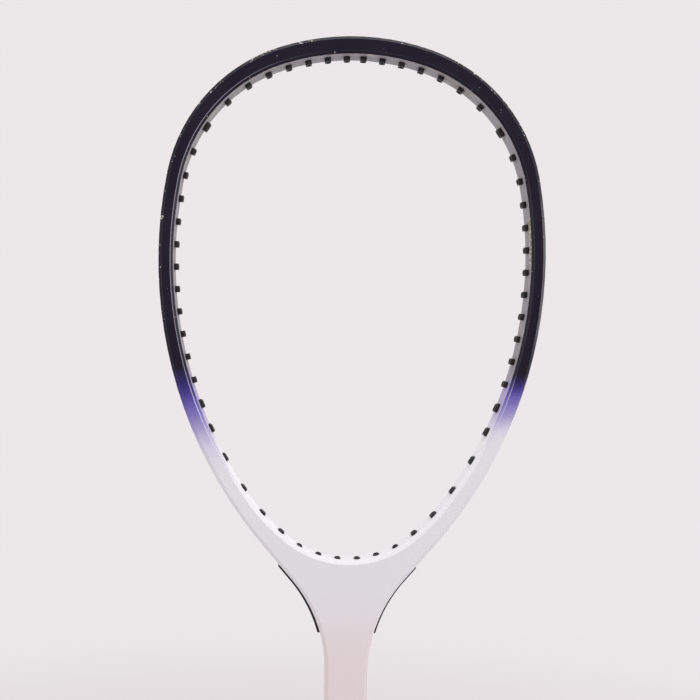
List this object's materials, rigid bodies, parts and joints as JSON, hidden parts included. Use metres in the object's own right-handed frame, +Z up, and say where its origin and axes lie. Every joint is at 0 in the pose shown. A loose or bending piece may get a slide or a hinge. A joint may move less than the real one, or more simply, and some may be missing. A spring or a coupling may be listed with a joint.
{
  "type": "squash racket",
  "caption": "Unstrung one-piece racket frame with a pear-shaped head, closed throat and single shaft, its string grommets and throat strips, and a wrapped octagonal grip.",
  "frame": {"origin": "centre of the butt cap's end face, on the surface that the racket stands on", "axes": "+Z up the shaft to the top of the head, +X to the right as seen from the front, +Y through the string plane to the back; the string plane is Y = 0"},
  "size_m": [0.2342, 0.037, 0.6859],
  "materials": {
    "frame": "gloss lacquer, navy hoop that fades to pearl white throat and shaft",
    "foam": "light rigid foam",
    "grommet": "satin black nylon",
    "throat_strip": "satin black nylon",
    "pallet": "moulded foam skin",
    "butt_cap": "satin",
    "tack": "plain",
    "grip_wrap": "matt tacky tape with fine perforation",
    "finishing_tape": "plain adhesive tape",
    "grip_collar": "matt"
  },
  "bodies": {
    "root": {"frame_shell": "frame", "foam_core": "foam", "grommet_pair_01": "grommet", "grommet_pair_02": "grommet", "grommet_pair_03": "grommet", "grommet_pair_04": "grommet", "grommet_pair_05": "grommet", "grommet_pair_06": "grommet", "grommet_pair_07": "grommet", "grommet_pair_08": "grommet", "grommet_pair_09": "grommet", "grommet_pair_10": "grommet", "grommet_pair_11": "grommet", "grommet_pair_12": "grommet", "grommet_pair_13": "grommet", "grommet_pair_14": "grommet", "grommet_pair_15": "grommet", "grommet_pair_16": "grommet", "grommet_pair_17": "grommet", "grommet_pair_18": "grommet", "grommet_pair_19": "grommet", "grommet_pair_20": "grommet", "grommet_pair_21": "grommet", "grommet_pair_22": "grommet", "grommet_pair_23": "grommet", "grommet_pair_24": "grommet", "grommet_pair_25": "grommet", "throat_strip_left": "throat_strip", "throat_strip_right": "throat_strip", "handle_pallet": "pallet", "butt_cap": "butt_cap", "butt_cap_tacks": "tack", "grip_wrap": "grip_wrap", "finishing_tape": "finishing_tape", "grip_collar": "grip_collar"}
  },
  "joints": []
}
